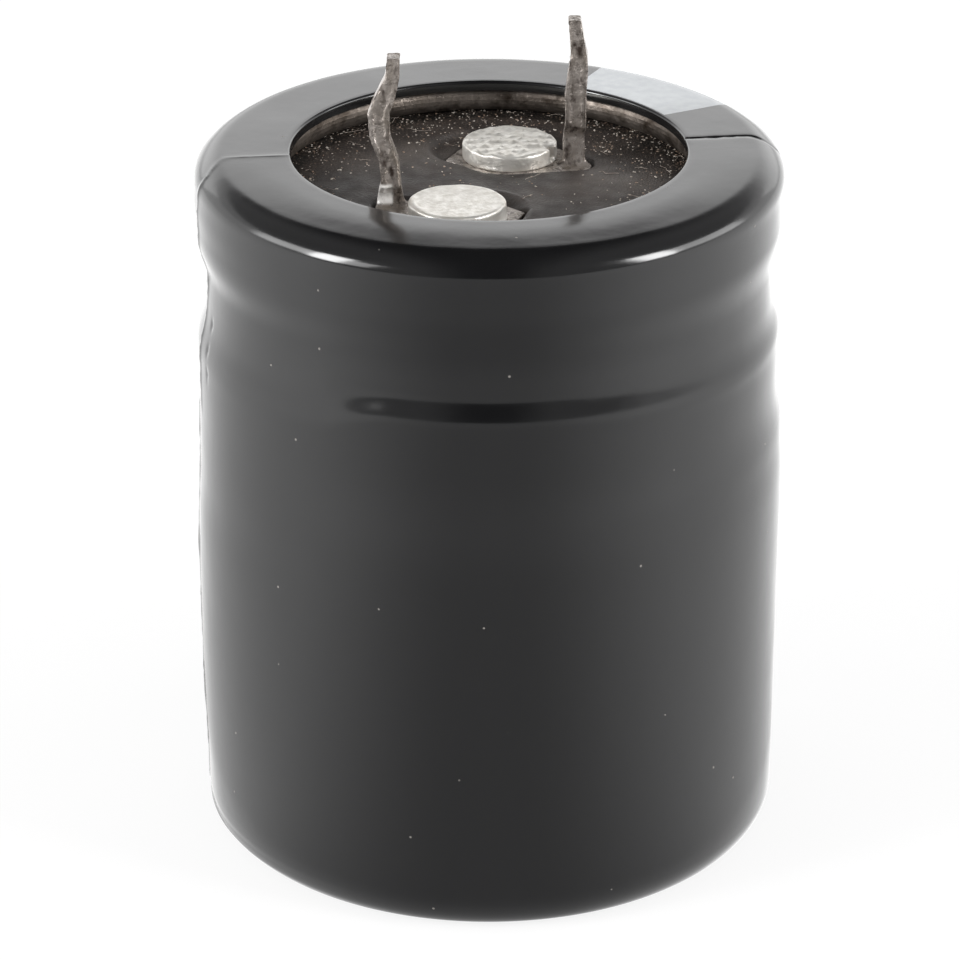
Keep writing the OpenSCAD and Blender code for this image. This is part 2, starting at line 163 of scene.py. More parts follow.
# Heat-shrunk PVC film, extruded: near black and glossy, with a faint orange peel and settled flecks
def shrunkFilm():
    look = filmLook
    material, tree, shader, place = startMaterial(
        "Heat-shrunk PVC film", look["colour"], Roughness=0.12, IOR=1.6)
    split = addNode(tree, "ShaderNodeSeparateXYZ", {0: place})
    height = split.outputs["Z"]
    turn = addNode(tree, "ShaderNodeMath", {
        0: split.outputs["Y"], 1: split.outputs["X"]}, operation="ARCTAN2")
    middle = math.radians(stripe["middle"] - 90)
    inStripe = addNode(tree, "ShaderNodeMath", {
        0: turn, 1: middle, 2: math.radians(stripe["halfWidth"])}, operation="COMPARE")
    # A bar every pitch, between two heights
    half = stripe["barPitch"] / 2 * mm
    wave = addNode(tree, "ShaderNodeMath", {0: height, 1: half}, operation="PINGPONG")
    level = addNode(tree, "ShaderNodeMath", {
        0: wave, 1: half, 2: stripe["barHeight"] / 2 * mm}, operation="COMPARE")
    narrow = addNode(tree, "ShaderNodeMath", {
        0: turn, 1: middle, 2: math.radians(stripe["barHalfWidth"])}, operation="COMPARE")
    between = addNode(tree, "ShaderNodeMath", {
        0: height, 1: (stripe["barsTo"] + stripe["barsFrom"]) / 2 * mm,
        2: (stripe["barsTo"] - stripe["barsFrom"]) / 2 * mm}, operation="COMPARE")
    bar = addNode(tree, "ShaderNodeMath", {0: level, 1: narrow}, operation="MULTIPLY")
    bar = addNode(tree, "ShaderNodeMath", {0: bar, 1: between}, operation="MULTIPLY")
    printed = addNode(tree, "ShaderNodeMath", {0: inStripe, 1: bar}, operation="SUBTRACT")
    across = addNode(tree, "ShaderNodeVectorMath", {0: place, 1: (1, 1, 0)}, operation="MULTIPLY")
    across = addNode(tree, "ShaderNodeVectorMath", {0: across}, operation="LENGTH")
    outside = addNode(tree, "ShaderNodeMath", {0: across, 1: stripe["inner"] * mm}, operation="GREATER_THAN")
    printed = addNode(tree, "ShaderNodeMath", {0: printed, 1: outside}, operation="MULTIPLY")
    ink = mottledColour(tree, place, 0.5, stripe["ink"], stripe["paleInk"])
    colour = addNode(tree, "ShaderNodeMix", {0: printed, 6: look["colour"], 7: ink}, data_type="RGBA")
    # Flecks of settled dust, about 0.1 mm across
    cells = addNode(tree, "ShaderNodeTexVoronoi", {
        "Vector": place, "Scale": 1 / (look["fleckSpacing"] * mm)})
    speck = addNode(tree, "ShaderNodeMath", {
        0: cells.outputs["Distance"], 1: look["fleckSize"]}, operation="LESS_THAN")
    lot = addNode(tree, "ShaderNodeSeparateXYZ", {0: cells.outputs["Color"]}).outputs["X"]
    chosen = addNode(tree, "ShaderNodeMath", {0: lot, 1: 1 - look["fleckShare"]}, operation="GREATER_THAN")
    fleck = addNode(tree, "ShaderNodeMath", {0: speck, 1: chosen}, operation="MULTIPLY")
    colour = addNode(tree, "ShaderNodeMix", {0: fleck, 6: colour, 7: look["fleck"]}, data_type="RGBA")
    skin = mottle(tree, place, 2.5, *look["roughness"])
    rough = addNode(tree, "ShaderNodeMath", {0: fleck, 1: 0.4, 2: skin}, operation="MULTIPLY_ADD")
    fine = mottle(tree, place, 0.15, detail=2.0)
    peel = addNode(tree, "ShaderNodeMath", {0: fine, 1: 0.12, 2: mottle(tree, place, 0.9, detail=2.0)},
                   operation="MULTIPLY_ADD")
    dress(tree, shader, colour, rough, peel, look["peel"])
    return material


# Drawn and rolled aluminium: dull grey with brown stains where the deck was sealed
def rolledAluminium():
    material, tree, shader, place = startMaterial(
        "Drawn and rolled aluminium", "#8f8983", Metallic=0.85, Roughness=0.45)
    dull = mottledColour(tree, place, 2.2, "#7d756e", "#574f48")
    stained = mottledColour(tree, place, 0.7, dull, "#30271f", start=0.5, end=0.72)
    dress(tree, shader, stained, mottle(tree, place, 0.4, 0.4, 0.62), mottle(tree, place, 0.16), 0.008)
    return material


# Pressed aluminium rivet: pale satin skin, a little uneven from the tool
def pressedAluminium():
    material, tree, shader, place = startMaterial(
        "Pressed aluminium", "#dcd9d3", Metallic=0.75, Roughness=0.42)
    skin = mottledColour(tree, place, 0.5, "#efece6", "#dbd7cf")
    dress(tree, shader, skin, mottle(tree, place, 0.25, 0.34, 0.52), mottle(tree, place, 0.12), 0.006)
    return material


# Dip-tinned steel: soft grey solder skin, stained brown in its hollows, with a painted highlight, near white
# and barely metallic, where its mask says so
def dippedTin():
    material, tree, shader, place = startMaterial(
        "Dip-tinned steel", "#b5aea7", Metallic=0.55, Roughness=0.36)
    skin = mottledColour(tree, place, 0.7, "#aca49e", "#81786f", stretch=(1, 1, 0.35))
    stained = mottledColour(tree, place, 0.35, skin, "#423832", start=0.52, end=0.7, stretch=(1, 1, 0.5))
    # Painted highlight where the bend of the positive pin's base would catch the light
    paintedHighlight = addNode(tree, "ShaderNodeAttribute", attribute_name="paintedHighlight").outputs["Fac"]
    colour = addNode(tree, "ShaderNodeMix", {0: paintedHighlight, 6: stained, 7: "#fbf8f4"}, data_type="RGBA")
    metal = addNode(tree, "ShaderNodeMapRange", {"Value": paintedHighlight, "To Min": 0.55, "To Max": 0.1})
    feed(tree, shader.inputs["Metallic"], metal)
    dress(tree, shader, colour, mottle(tree, place, 0.3, 0.22, 0.45), mottle(tree, place, 0.2), 0.02)
    return material


# Moulded rubber: soft black with a fine grain, greyed by powder where its mask says so; the film mask adds
# paler patches, partly dust and partly painted sheen, and below nothing painted shade
def mouldedRubber():
    material, tree, shader, place = startMaterial("Moulded rubber", "#2b2725", Roughness=0.5, IOR=1.5)
    mask = addNode(tree, "ShaderNodeAttribute", attribute_name="dust").outputs["Fac"]
    base = mottledColour(tree, place, 1.6, "#272220", "#342d29")
    powder = addNode(tree, "ShaderNodeMath", {
        0: mottle(tree, place, 0.11, start=0.5, end=0.68), 1: mask}, operation="MULTIPLY")
    # Film mask: above nothing paler patches, partly dust and partly painted sheen; below nothing painted
    # shade
    film = addNode(tree, "ShaderNodeAttribute", attribute_name="film").outputs["Fac"]
    base = addNode(tree, "ShaderNodeMix", {0: film, 6: base, 7: "#6b635d"}, data_type="RGBA")
    # Painted shade where the film mask is below nothing
    paintedShade = addNode(tree, "ShaderNodeMath", {0: film, 1: -1.0}, operation="MULTIPLY", use_clamp=True)
    base = addNode(tree, "ShaderNodeMix", {0: paintedShade, 6: base, 7: "#0c0907"}, data_type="RGBA")
    colour = addNode(tree, "ShaderNodeMix", {0: powder, 6: base, 7: "#6e5f54"}, data_type="RGBA")
    dress(tree, shader, colour, mottle(tree, place, 0.9, 0.45, 0.65), mottle(tree, place, 0.1), 0.012)
    return material


# Settled dust: pale mineral grains and brown fluff
def settledDust(name, pale, brown):
    material, tree, shader, place = startMaterial(name, pale, Roughness=0.8)
    dress(tree, shader, mottledColour(tree, place, 0.5, pale, brown, start=0.45, end=0.6))
    return material


# Pressed fibre sheet: matt grey with short fibres
def pressedFibre():
    material, tree, shader, place = startMaterial("Pressed fibre sheet", "#6f7072", Roughness=0.85)
    fibres = mottle(tree, place, 0.35, stretch=(1, 0.25, 1))
    colour = addNode(tree, "ShaderNodeMix", {0: fibres, 6: "#626365", 7: "#7c7d7e"}, data_type="RGBA")
    dress(tree, shader, colour, None, fibres, 0.02)
    return material


# Punched phenolic laminate: brown paper layers under a thin resin gloss
def phenolicLaminate():
    material, tree, shader, place = startMaterial("Punched phenolic laminate", "#6b4a2f", Roughness=0.45)
    layers = mottle(tree, place, 0.6, stretch=(0.3, 0.3, 6))
    colour = addNode(tree, "ShaderNodeMix", {0: layers, 6: "#5c3d26", 7: "#7d5836"}, data_type="RGBA")
    dress(tree, shader, colour, None, layers, 0.01)
    return material


# Wound foil and soaked paper: cream paper ends with thin grey foil turns
def woundFoil():
    material, tree, shader, place = startMaterial("Wound foil and paper", "#cdbfa0", Roughness=0.7)
    wave = addNode(tree, "ShaderNodeTexWave", {"Vector": place, "Scale": 1 / (1.2 * mm), "Distortion": 0.6},
                   wave_type="RINGS", rings_direction="Z")
    rings = wave.outputs["Fac"]
    colour = addNode(tree, "ShaderNodeMix", {0: rings, 6: "#cdbfa0", 7: "#8f8b82"}, data_type="RGBA")
    dress(tree, shader, colour, None, rings, 0.05)
    return material


# Clear polyester tape over brown paper: thin and faintly yellow, with lengthwise streaks
def polyesterTape():
    material, tree, shader, place = startMaterial("Polyester tape", "#d9cfa6", Roughness=0.28, IOR=1.6)
    streaks = mottle(tree, place, 0.8, stretch=(0.4, 0.4, 3))
    colour = addNode(tree, "ShaderNodeMix", {0: streaks, 6: "#d9cfa6", 7: "#c4b98f"}, data_type="RGBA")
    dress(tree, shader, colour)
    return material


film = shrunkFilm()
canMetal = rolledAluminium()
rivetMetal = pressedAluminium()
tin = dippedTin()
rubber = mouldedRubber()
paleDust = settledDust("Settled pale dust", "#b9b2a8", "#8a7462")
fluff = settledDust("Settled fluff", "#a79d93", "#6f6158")
print("stage: materials made")


def arc(centre, radius, start, end, count):
    angles = np.radians(np.linspace(start, end, count + 1))
    return np.column_stack([centre[0] + radius * np.cos(angles), centre[1] + radius * np.sin(angles)])


# Eased slope between two points of a profile, level with its ends at both ends
def slope(first, last, count):
    share = np.linspace(0, 1, count + 1)
    across = first[0] + (last[0] - first[0]) * (1 - np.cos(np.pi * share)) / 2
    return np.column_stack([across, first[1] + (last[1] - first[1]) * share])


def straight(first, last, count):
    share = np.linspace(0, 1, count + 1)[:, None]
    return np.array(first) * (1 - share) + np.array(last) * share


# Joins stretches of a profile, without the points that two of them share
def joined(*stretches):
    path = [stretches[0]]
    for part in stretches[1:]:
        path.append(part[1:] if np.allclose(part[0], path[-1][-1]) else part)
    return np.vstack(path)


def getSpots(draft):
    return np.array([v.co for v in draft.data.vertices])


def setSpots(draft, spots):
    draft.data.vertices.foreach_set("co", spots.astype(np.float32).ravel())
    draft.data.update()


# Merges doubled points and turns the faces outwards
def clean(draft):
    work = bmesh.new()
    work.from_mesh(draft.data)
    bmesh.ops.remove_doubles(work, verts=work.verts, dist=1e-4)
    bmesh.ops.recalc_face_normals(work, faces=work.faces)
    work.to_mesh(draft.data)
    work.free()
    return draft


# Runs the draft's modifiers and keeps the result as a plain mesh
def bake(draft):
    bpy.context.view_layer.update()
    seen = draft.evaluated_get(bpy.context.evaluated_depsgraph_get())
    plain = bpy.data.meshes.new_from_object(seen)
    draft.modifiers.clear()
    draft.data = plain
    return draft


# Starts a geometry node tree with named inputs, the last for its material
def startTree(name, sockets):
    tree = bpy.data.node_groups.new(name, "GeometryNodeTree")
    tree.interface.new_socket("Geometry", in_out="INPUT", socket_type="NodeSocketGeometry")
    for label, kind, value in sockets + [("Material", "NodeSocketMaterial", None)]:
        made = tree.interface.new_socket(label, in_out="INPUT", socket_type=kind)
        if value is not None:
            made.default_value = value
    tree.interface.new_socket("Geometry", in_out="OUTPUT", socket_type="NodeSocketGeometry")
    return tree, addNode(tree, "NodeGroupInput").outputs


# Ends a tree: real geometry with its material
def endTree(tree, geometry, given):
    real = addNode(tree, "GeometryNodeRealizeInstances", {0: geometry})
    dressed = addNode(tree, "GeometryNodeSetMaterial", {"Geometry": real, "Material": given["Material"]})
    addNode(tree, "NodeGroupOutput", {0: dressed})
    return tree


# Grows a tree on a mesh and gives the result as a draft, still in millimetres
def grow(tree, mesh, name, settings):
    draft = newObject(name, mesh)
    change = draft.modifiers.new("grow", "NODES")
    change.node_group = tree
    for socket in tree.interface.items_tree:
        if socket.item_type == "SOCKET" and socket.in_out == "INPUT" and socket.name in settings:
            change[socket.identifier] = settings[socket.name]
    return bake(draft)


# Turns a profile once round Z; the steps may crowd towards two opposite angles
def turningTree():
    tree, given = startTree("turn a profile", [
        ("Points", "NodeSocketInt", 2), ("Steps", "NodeSocketInt", 96), ("Crowding", "NodeSocketFloat", 0.0),
        ("Crowded at", "NodeSocketFloat", 0.0)])
    wide = addNode(tree, "ShaderNodeMath", {0: given["Steps"], 1: 1.0}, operation="ADD")
    sheet = addNode(tree, "GeometryNodeMeshGrid", {"Vertices X": given["Points"], "Vertices Y": wide})
    index = addNode(tree, "GeometryNodeInputIndex")
    share = addNode(tree, "ShaderNodeMath", {0: index, 1: wide}, operation="DIVIDE")
    point = addNode(tree, "ShaderNodeMath", {0: share}, operation="FLOOR")
    step = addNode(tree, "ShaderNodeMath", {0: index, 1: wide}, operation="MODULO")
    part = addNode(tree, "ShaderNodeMath", {0: step, 1: given["Steps"]}, operation="DIVIDE")
    turn = addNode(tree, "ShaderNodeMath", {0: part, 1: 2 * math.pi}, operation="MULTIPLY")
    away = addNode(tree, "ShaderNodeMath", {0: turn, 1: given["Crowded at"]}, operation="SUBTRACT")
    twice = addNode(tree, "ShaderNodeMath", {0: away, 1: 2.0}, operation="MULTIPLY")
    wave = addNode(tree, "ShaderNodeMath", {0: twice}, operation="SINE")
    pull = addNode(tree, "ShaderNodeMath", {0: wave, 1: given["Crowding"]}, operation="MULTIPLY")
    angle = addNode(tree, "ShaderNodeMath", {0: turn, 1: pull}, operation="SUBTRACT")
    place = addNode(tree, "GeometryNodeInputPosition")
    spot = addNode(tree, "GeometryNodeSampleIndex", {
        "Geometry": given["Geometry"], "Value": place, "Index": point},
        data_type="FLOAT_VECTOR", domain="POINT")
    turned = addNode(tree, "ShaderNodeVectorRotate", {"Vector": spot, "Angle": angle}, rotation_type="Z_AXIS")
    laid = addNode(tree, "GeometryNodeSetPosition", {"Geometry": sheet, "Position": turned})
    return endTree(tree, laid, given)


turning = turningTree()


# Turns a profile of radii and heights into a draft
def turnProfile(name, path, steps, material, crowding=0.0, crowdedAt=0.0):
    mesh = bpy.data.meshes.new(name)
    mesh.from_pydata([(r, 0, z) for r, z in path.tolist()], [], [])
    return clean(grow(turning, mesh, name, {
        "Points": len(path), "Steps": steps, "Crowding": crowding, "Crowded at": math.radians(crowdedAt),
        "Material": material}))


# Turns a draft into a finished piece: metres, smooth faces, material and body
def finishPiece(draft, material, replaced=(), sharp=40):
    mesh = draft.data
    mesh.transform(Matrix.Scale(mm, 4))
    mesh.polygons.foreach_set("use_smooth", [True] * len(mesh.polygons))
    mesh.set_sharp_from_angle(angle=math.radians(sharp))
    mesh.materials.clear()
    mesh.materials.append(material)
    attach(draft, body)
    if replaced:
        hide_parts(*replaced)
    return draft


sleeveHigh = nodeBox("sleeve")[1]
sleeve = {
    "radius": sleeveHigh[0],
    "top": sleeveHigh[2],
    "wall": 0.25,
    "collarRadius": 12.47,
    "openingRadius": 8.43,
    "cornerRadius": 1.4,
    "shoulderRadius": 1.15,
    "fold": 1.4,
    "edgeRadius": 0.12,
    "skirt": 0.42,
    "draw": (16.6, 21.3),
    "neckRows": (22.4, 28.4),
    # The neck's lower slope by bearing: its drop, its steepness in degrees and its middle height
    "neckDrop": ([-180, -70, -30, 25, 60, 180], [0.37, 0.37, 0.28, 0.28, 0.37, 0.37]),
    "neckSteepness": (
        [-180, -95, -60, -33, -22, 13, 20, 32, 50, 180],
        [12, 12.5, 10, 9, 18.5, 18.5, 15, 13.3, 12.5, 12]),
    "neckMiddle": ([-180, -90, -45, -20, 60, 90, 180], [23.7, 23.7, 23.6, 24.15, 24.2, 23.8, 23.7]),
    # Above it: what is left to drop, how much more on the right, where it is deepest and where it ends
    "neckRest": 0.05,
    "neckRightRest": 0.04,
    "neckDeep": (25.8, 26.0),
    "neckTop": 28.2,
    # Swellings of the left and right side: how far out, at which height, how tall
    "leftSwell": (
        (-0.14, 2, 4), (-0.15, 17, 2), (0.1, 21.1, 1.6), (0.09, 23.1, 0.8), (0.06, 24.8, 0.9),
        (0.08, 27.3, 0.8), (0.1, 29.2, 0.9), (0.06, 30.4, 0.4)),
    "rightSwell": (
        (0.03, 16, 2.5), (0.08, 19.1, 0.7), (0.12, 23.5, 0.5), (0.1, 25.8, 1.1), (0.15, 30.4, 0.6)),
    # How far the lip's front falls towards the shoulder: over which bearings and radii, how much less
    # in the middle and how wide
    "frontTilt": 0.19,
    "tiltBearings": (85, 45),
    "tiltReach": (9.4, 12.4),
    "tiltLess": (0.25, 25),
    "backRise": 0.06,
    "ripple": 0.011,
    # Seams where the tube lay flat: bearings on the lip, shoulder and wall, then height, width, share of
    # the height on the lip and seed
    "seams": ((-83.5, -76.5, -79.5, 0.05, 0.13, 0.35, 3), (97.5, 93.5, 94.5, -0.05, 0.09, 1.0, 4)),
    # Pits in the neck: bearing and height, then how deep, wide and tall
    "pits": ((-74, 24.3), (-73.6, 23.2), (-73, 22.2)),
    "pitSize": (0.045, 0.16, 0.25),
    "steps": 440,
}


# The film's section: up the outside, over the lip, and back down the inside
def sleeveProfile():
    s = sleeve
    r, top, corner, collar = s["radius"], s["top"], s["cornerRadius"], s["collarRadius"]
    shoulder, edge, opening, wall = s["shoulderRadius"], s["edgeRadius"], s["openingRadius"], s["wall"]
    drawLow, drawHigh = s["draw"]
    neckLow, neckHigh = s["neckRows"]
    return joined(
        straight((r - corner - s["fold"], 0), (r - corner, 0), 4),
        arc((r - corner, corner), corner, -90, 0, 10),
        straight((r, corner), (r, drawLow), 34),
        slope((r, drawLow), (collar, drawHigh), 11),
        straight((collar, drawHigh), (collar, neckLow), 4),
        straight((collar, neckLow), (collar, neckHigh), 48),
        straight((collar, neckHigh), (collar, top - shoulder), 7),
        arc((collar - shoulder, top - shoulder), shoulder, 0, 90, 16),
        straight((collar - shoulder, top), (opening + edge, top), 14),
        arc((opening + edge, top - edge), edge, 90, 180, 5),
        straight((opening, top - edge), (opening, top - s["skirt"]), 2),
        straight((opening + wall, top - s["skirt"]), (opening + wall, top - wall), 1),
        straight((opening + wall, top - wall), (collar - shoulder, top - wall), 3),
        arc((collar - shoulder, top - shoulder), shoulder - wall, 90, 0, 5),
        straight((collar - wall, top - shoulder), (collar - wall, neckHigh), 1),
        straight((collar - wall, neckHigh), (collar - wall, neckLow), 14),
        straight((collar - wall, neckLow), (collar - wall, drawHigh), 1),
        slope((collar - wall, drawHigh), (r - wall, drawLow), 4),
        straight((r - wall, drawLow), (r - wall, corner), 8),
        arc((r - corner, corner), corner - wall, 0, -90, 4),
        straight((r - corner, wall), (r - corner - s["fold"], wall), 1),
        np.array([[r - corner - s["fold"], 0]]))


# Gives the plain turned film the unevenness that shrinking leaves
def shrinkFilm(spots):
    s = sleeve
    x, y, z = spots.T
    r = np.hypot(x, y)
    bearing = np.degrees(np.arctan2(x, -y))
    sideways = np.sin(np.radians(bearing))
    centreR, centreZ = s["collarRadius"] - s["shoulderRadius"], s["top"] - s["shoulderRadius"]
    out, up = np.maximum(r - centreR, 0), np.maximum(z - centreZ, 0)
    reach = np.maximum(np.hypot(out, up), 1e-6)
    out, up = out / reach, up / reach
    # The neck, steep at its foot in front, then easing to its deepest
    drop = np.interp(bearing, *s["neckDrop"])
    half = 0.75 * drop / np.tan(np.radians(np.interp(bearing, *s["neckSteepness"])))
    middle = np.interp(bearing, *s["neckMiddle"])
    deepFrom, deepTo = s["neckDeep"]
    radial = -drop * ease(middle - half, middle + half, z)
    radial -= (s["neckRest"] + s["neckRightRest"] * sideways) * ease(middle + 0.6 * half, deepFrom, z)
    radial *= 1 - ease(deepTo, s["neckTop"], z)
    radial = np.where(z > s["neckTop"] - 0.2, np.maximum(radial, -0.01), radial)
    level = s["backRise"] * (1 - np.cos(np.radians(bearing))) / 2
    less, width = s["tiltLess"]
    tilt = s["frontTilt"] * (1 - less * bellCurve(bearing, 0, width))
    level -= tilt * ease(*s["tiltBearings"], np.abs(bearing)) * ease(*s["tiltReach"], r)
    # What only the outer skin shows: swellings, seams and pits
    wallRadius = s["radius"] - (s["radius"] - s["collarRadius"]) * ease(*s["draw"], z)
    depth = np.where(z > centreZ, s["shoulderRadius"] - reach, wallRadius - r)
    ripple = s["ripple"] * (lumps(spots * (1, 1, 0.7), 4.5, 1) + 0.35 * lumps(spots, 1.7, 2))
    skin = np.zeros(len(z))
    for side, swells in ((-1, s["leftSwell"]), (1, s["rightSwell"])):
        for amount, height, tall in swells:
            skin += amount * np.clip(side * sideways, 0, 1) ** 2 * bellCurve(z, height, tall) * out
    for lip, shoulder, wall, tall, wide, onLip, seed in s["seams"]:
        line = np.column_stack([z - r, 0 * z, 0 * z])
        wander = 0.6 * lumps(line, 1.5, seed) * ease(centreZ + 1, centreZ - 1, z)
        dots = 1 + 0.8 * lumps(line, 0.35, seed + 5)
        at = lip + (shoulder - lip) * ease(11.0, 12.4, r) * (z > 20)
        at += (wall - shoulder) * ease(30.0, 26.5, z) + 1.5 * wander
        away = ((bearing - at + 180) % 360 - 180) * math.pi / 180 * r
        tall *= 1 + (onLip - 1) * ease(12.3, 11.4, r)
        skin += tall * dots * np.exp(-np.abs(away) / wide)
    deep, wide, tall = s["pitSize"]
    for at, height in s["pits"]:
        skin -= deep * bellCurve((bearing - at) * math.pi / 180 * r, 0, wide) * bellCurve(z, height, tall)
    skin = np.where(depth < s["wall"] / 2, skin, 0)
    fade = ease(0.0, 1.0, z)
    radial = (radial * out + (ripple + skin) * out) * fade
    spots = spots.copy()
    spots[:, :2] *= ((r + radial) / r)[:, None]
    spots[:, 2] += (level + ripple + skin) * up
    return spots


def makeSleeve():
    draft = turnProfile("sleeve_film", sleeveProfile(), sleeve["steps"], film, 0.3, 8)
    setSpots(draft, shrinkFilm(getSpots(draft)))
    return finishPiece(draft, film, ("sleeve",), sharp=60)


makeSleeve()
print("stage: sleeve made")


rubberLow, rubberHigh = nodeBox("deck_rubber")
sides = ("negative", "positive")
deck = {
    "radius": rubberHigh[0],
    "bottom": rubberLow[2],
    "top": rubberHigh[2],
    # Foot plates: a lozenge round the rivet, with its pin at one end and a pointed tail
    "footBottom": 29.05,
    "footRadius": 2.35,
    "footEndRadius": 0.66,
    "footReach": 3.125,
    "footTail": 2.85,
    "tailTurn": 213,
    "footTurn": {"negative": -22.47, "positive": 157.53},   # from rivet to pin, counterclockwise from +X
    "pocketGap": 0.12,
    # Hollows pressed beside the tails: distance from the rivet, turn from the pin, ridge outside it
    "hollows": {"negative": (1.5, 173, 0.03), "positive": (0.7, 228, 0.09)},
    "hollowRadius": 2.2,
    "hollowDepth": 0.3,
    "pressed": 0.1,
    "pressedWidth": 0.7,
    # Paler patches, partly dust and partly painted sheen: where, how wide, how thick; below nothing it is
    # painted shade
    "dustSheenAndShade": ((4.8, 0.4, 1.8, 0.42), (-2.4, 4.0, 1.7, 0.55), (-5.4, 2.6, 1.8, 0.3), (1.2, -2.7, 1.5, 0.25),
        (7.3, 4.2, 1.3, -0.8), (6.4, 0.2, 1.2, 0.4)),
    # Painted shade darkens the facing towards the rim, under the rolled edge
    "rimShade": (8.0, 8.45),   # where the facing darkens towards the rim
    "rings": 96,
    "steps": 480,
}


def rivetCentre(side):
    low, high = nodeBox(side + "_rivet")
    return (low[:2] + high[:2]) / 2


def direction(degrees):
    return np.array([math.cos(math.radians(degrees)), math.sin(math.radians(degrees))])


# Distance from a foot plate's outline, negative inside
def footDistance(side, xy):
    d = deck
    moved = xy - rivetCentre(side)
    ahead = direction(d["footTurn"][side])
    local = np.column_stack([moved @ ahead, moved @ np.array([-ahead[1], ahead[0]])])
    lean = math.degrees(math.acos((d["footRadius"] - d["footEndRadius"]) / d["footReach"]))
    tailLean = math.degrees(math.acos(d["footRadius"] / d["footTail"]))
    outline = np.vstack([
        arc((d["footReach"], 0), d["footEndRadius"], -lean, lean, 10),
        arc((0, 0), d["footRadius"], lean, d["tailTurn"] - tailLean, 16),
        [d["footTail"] * direction(d["tailTurn"])],
        arc((0, 0), d["footRadius"], d["tailTurn"] + tailLean, 360 - lean, 10)])
    inside = np.full(len(local), True)
    nearest = np.full(len(local), 1e9)
    for a, b in zip(outline, np.roll(outline, -1, axis=0)):
        edge = b - a
        if edge @ edge < 1e-12:
            continue
        off = local - a
        share = np.clip(off @ edge / (edge @ edge), 0, 1)
        nearest = np.minimum(nearest, np.linalg.norm(off - share[:, None] * edge, axis=1))
        inside &= edge[0] * off[:, 1] - edge[1] * off[:, 0] >= 0
    return np.where(inside, -nearest, nearest)


def rubberHeight(xy):
    d = deck
    flat = np.column_stack([xy, np.zeros(len(xy))])
    height = d["top"] + 0.018 * lumps(flat, 2.2, 5) + 0.008 * lumps(flat, 0.7, 6)
    for side in sides:
        away = footDistance(side, xy)
        distance, turn, ridge = d["hollows"][side]
        fromHollow = np.hypot(*(xy - rivetCentre(side) - distance * direction(d["footTurn"][side] + turn)).T)
        height -= d["pressed"] * np.exp(-np.maximum(away, 0) / d["pressedWidth"])
        height += ridge * bellCurve(fromHollow, d["hollowRadius"] + 0.22, 0.2)
        inHollow = 1 - ease(d["hollowRadius"] - 0.3, d["hollowRadius"] + 0.08, fromHollow)
        height = np.minimum(height, height * (1 - inHollow) + (d["top"] - d["hollowDepth"]) * inHollow)
        inPocket = 1 - ease(d["pocketGap"] - 0.06, d["pocketGap"] + 0.06, away)
        height = height * (1 - inPocket) + (d["footBottom"] - 0.02) * inPocket
    return height


# Where dust has settled: thick at the back and round the edge, thin in front
def dustMask(xy):
    x, y = xy.T
    r = np.hypot(x, y)
    back = ease(4.2, 8.2, r) * ease(-1.0, 5.5, y + 0.25 * np.abs(x))
    rim = 0.75 * ease(5.0, 8.0, r) * ease(-6, 0, y)
    patches = ease(-0.2, 0.35, lumps(np.column_stack([xy, 0 * x]), 2.0, 8))
    mask = np.clip(np.maximum(back, rim) * (0.45 + 0.55 * patches) + 0.1 * patches, 0, 1)
    for side in sides:
        mask *= ease(0.1, 0.5, footDistance(side, xy))
    return mask


def makeRubber():
    d = deck
    radii = np.concatenate([np.linspace(0, 9.4, d["rings"]), [9.9, 10.6, 11.3, d["radius"]]])
    top = np.column_stack([radii, np.full(len(radii), d["top"])])
    path = np.vstack([top, [[d["radius"], d["bottom"]], [0, d["bottom"]]]])
    draft = turnProfile("deck_facing", path, d["steps"], rubber)
    spots = getSpots(draft)
    onTop = spots[:, 2] > d["bottom"] + 0.05
    heights = rubberHeight(spots[:, :2])
    heights = np.where(np.hypot(*spots[:, :2].T) > 8.6, np.minimum(heights, d["top"]), heights)
    spots[:, 2] = np.where(onTop, heights, spots[:, 2])
    setSpots(draft, spots)
    mask = draft.data.attributes.new("dust", "FLOAT", "POINT")
    mask.data.foreach_set("value", (dustMask(spots[:, :2]) * onTop).astype(np.float32))
    # Paler patches of dust and painted sheen, painted shade where the sum falls below nothing
    dustSheenShade = 0
    for x, y, wide, thick in d["dustSheenAndShade"]:
        dustSheenShade = dustSheenShade + thick * bellCurve(np.hypot(spots[:, 0] - x, spots[:, 1] - y), 0, wide)
    # Painted shade towards the rim, under the rolled edge
    dustSheenShade = dustSheenShade * (0.75 + 0.25 * lumps(spots, 0.8, 9)) - ease(*d["rimShade"], np.hypot(*spots[:, :2].T))
    cover = draft.data.attributes.new("film", "FLOAT", "POINT")
    cover.data.foreach_set("value", dustSheenShade.astype(np.float32))
    return draft


# Points spread over a surface as densely as its dust mask says
def dustySpots(tree, given):
    mask = addNode(tree, "GeometryNodeInputNamedAttribute", {"Name": "dust"}, data_type="FLOAT")
    density = addNode(tree, "ShaderNodeMath", {0: mask, 1: given["Per square mm"]}, operation="MULTIPLY")
    return addNode(tree, "GeometryNodeDistributePointsOnFaces", {
        "Mesh": given["Geometry"], "Density": density, "Seed": given["Seed"]})


